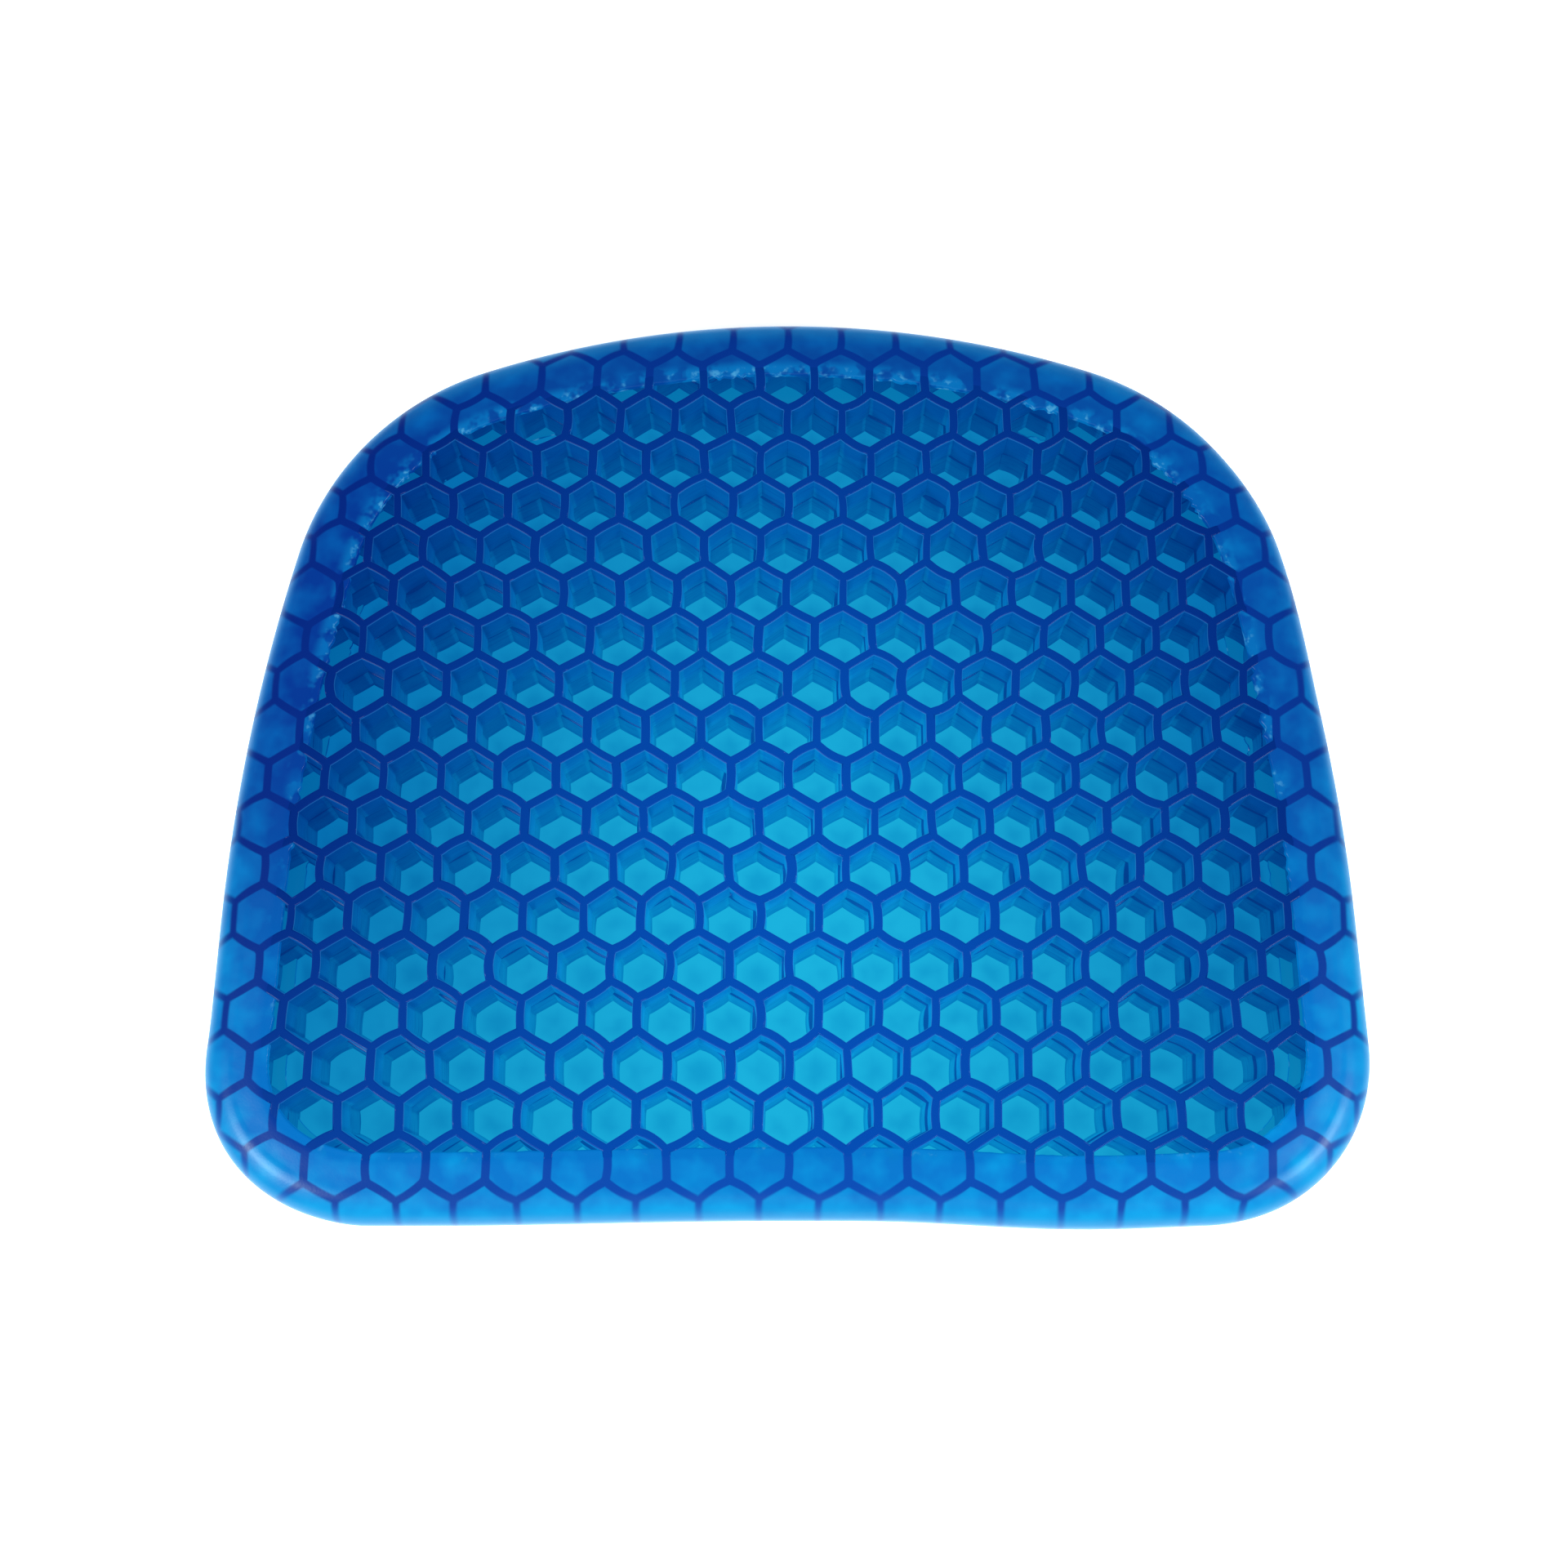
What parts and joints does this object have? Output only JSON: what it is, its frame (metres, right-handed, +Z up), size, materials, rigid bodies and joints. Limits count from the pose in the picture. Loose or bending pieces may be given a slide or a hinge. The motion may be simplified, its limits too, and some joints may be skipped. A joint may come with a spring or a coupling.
{
  "type": "seat cushion",
  "caption": "Flexible honeycomb gel seat cushion: two lattices of open hexagonal cells in a smooth rounded border with a closed film underneath, wide at the front and rounded at the back",
  "frame": {"origin": "On the floor plane under the middle of the cushion's bounding box", "axes": "+X across the seat to the right as seen from the front, +Y from the wide front edge towards the rounded back edge, +Z up"},
  "size_m": [0.42, 0.348, 0.03],
  "materials": {
    "gel_lattice": "translucent blue elastomer gel, navy where it is seen edge on, with a soft gloss",
    "gel_border": "smooth translucent blue elastomer gel with a soft gloss",
    "gel_film": "thin clear cyan-blue elastomer film"
  },
  "bodies": {
    "root": {"upper_honeycomb": "gel_lattice", "upper_border": "gel_border", "lower_honeycomb": "gel_lattice", "lower_border": "gel_border", "floor_film": "gel_film"}
  },
  "joints": []
}
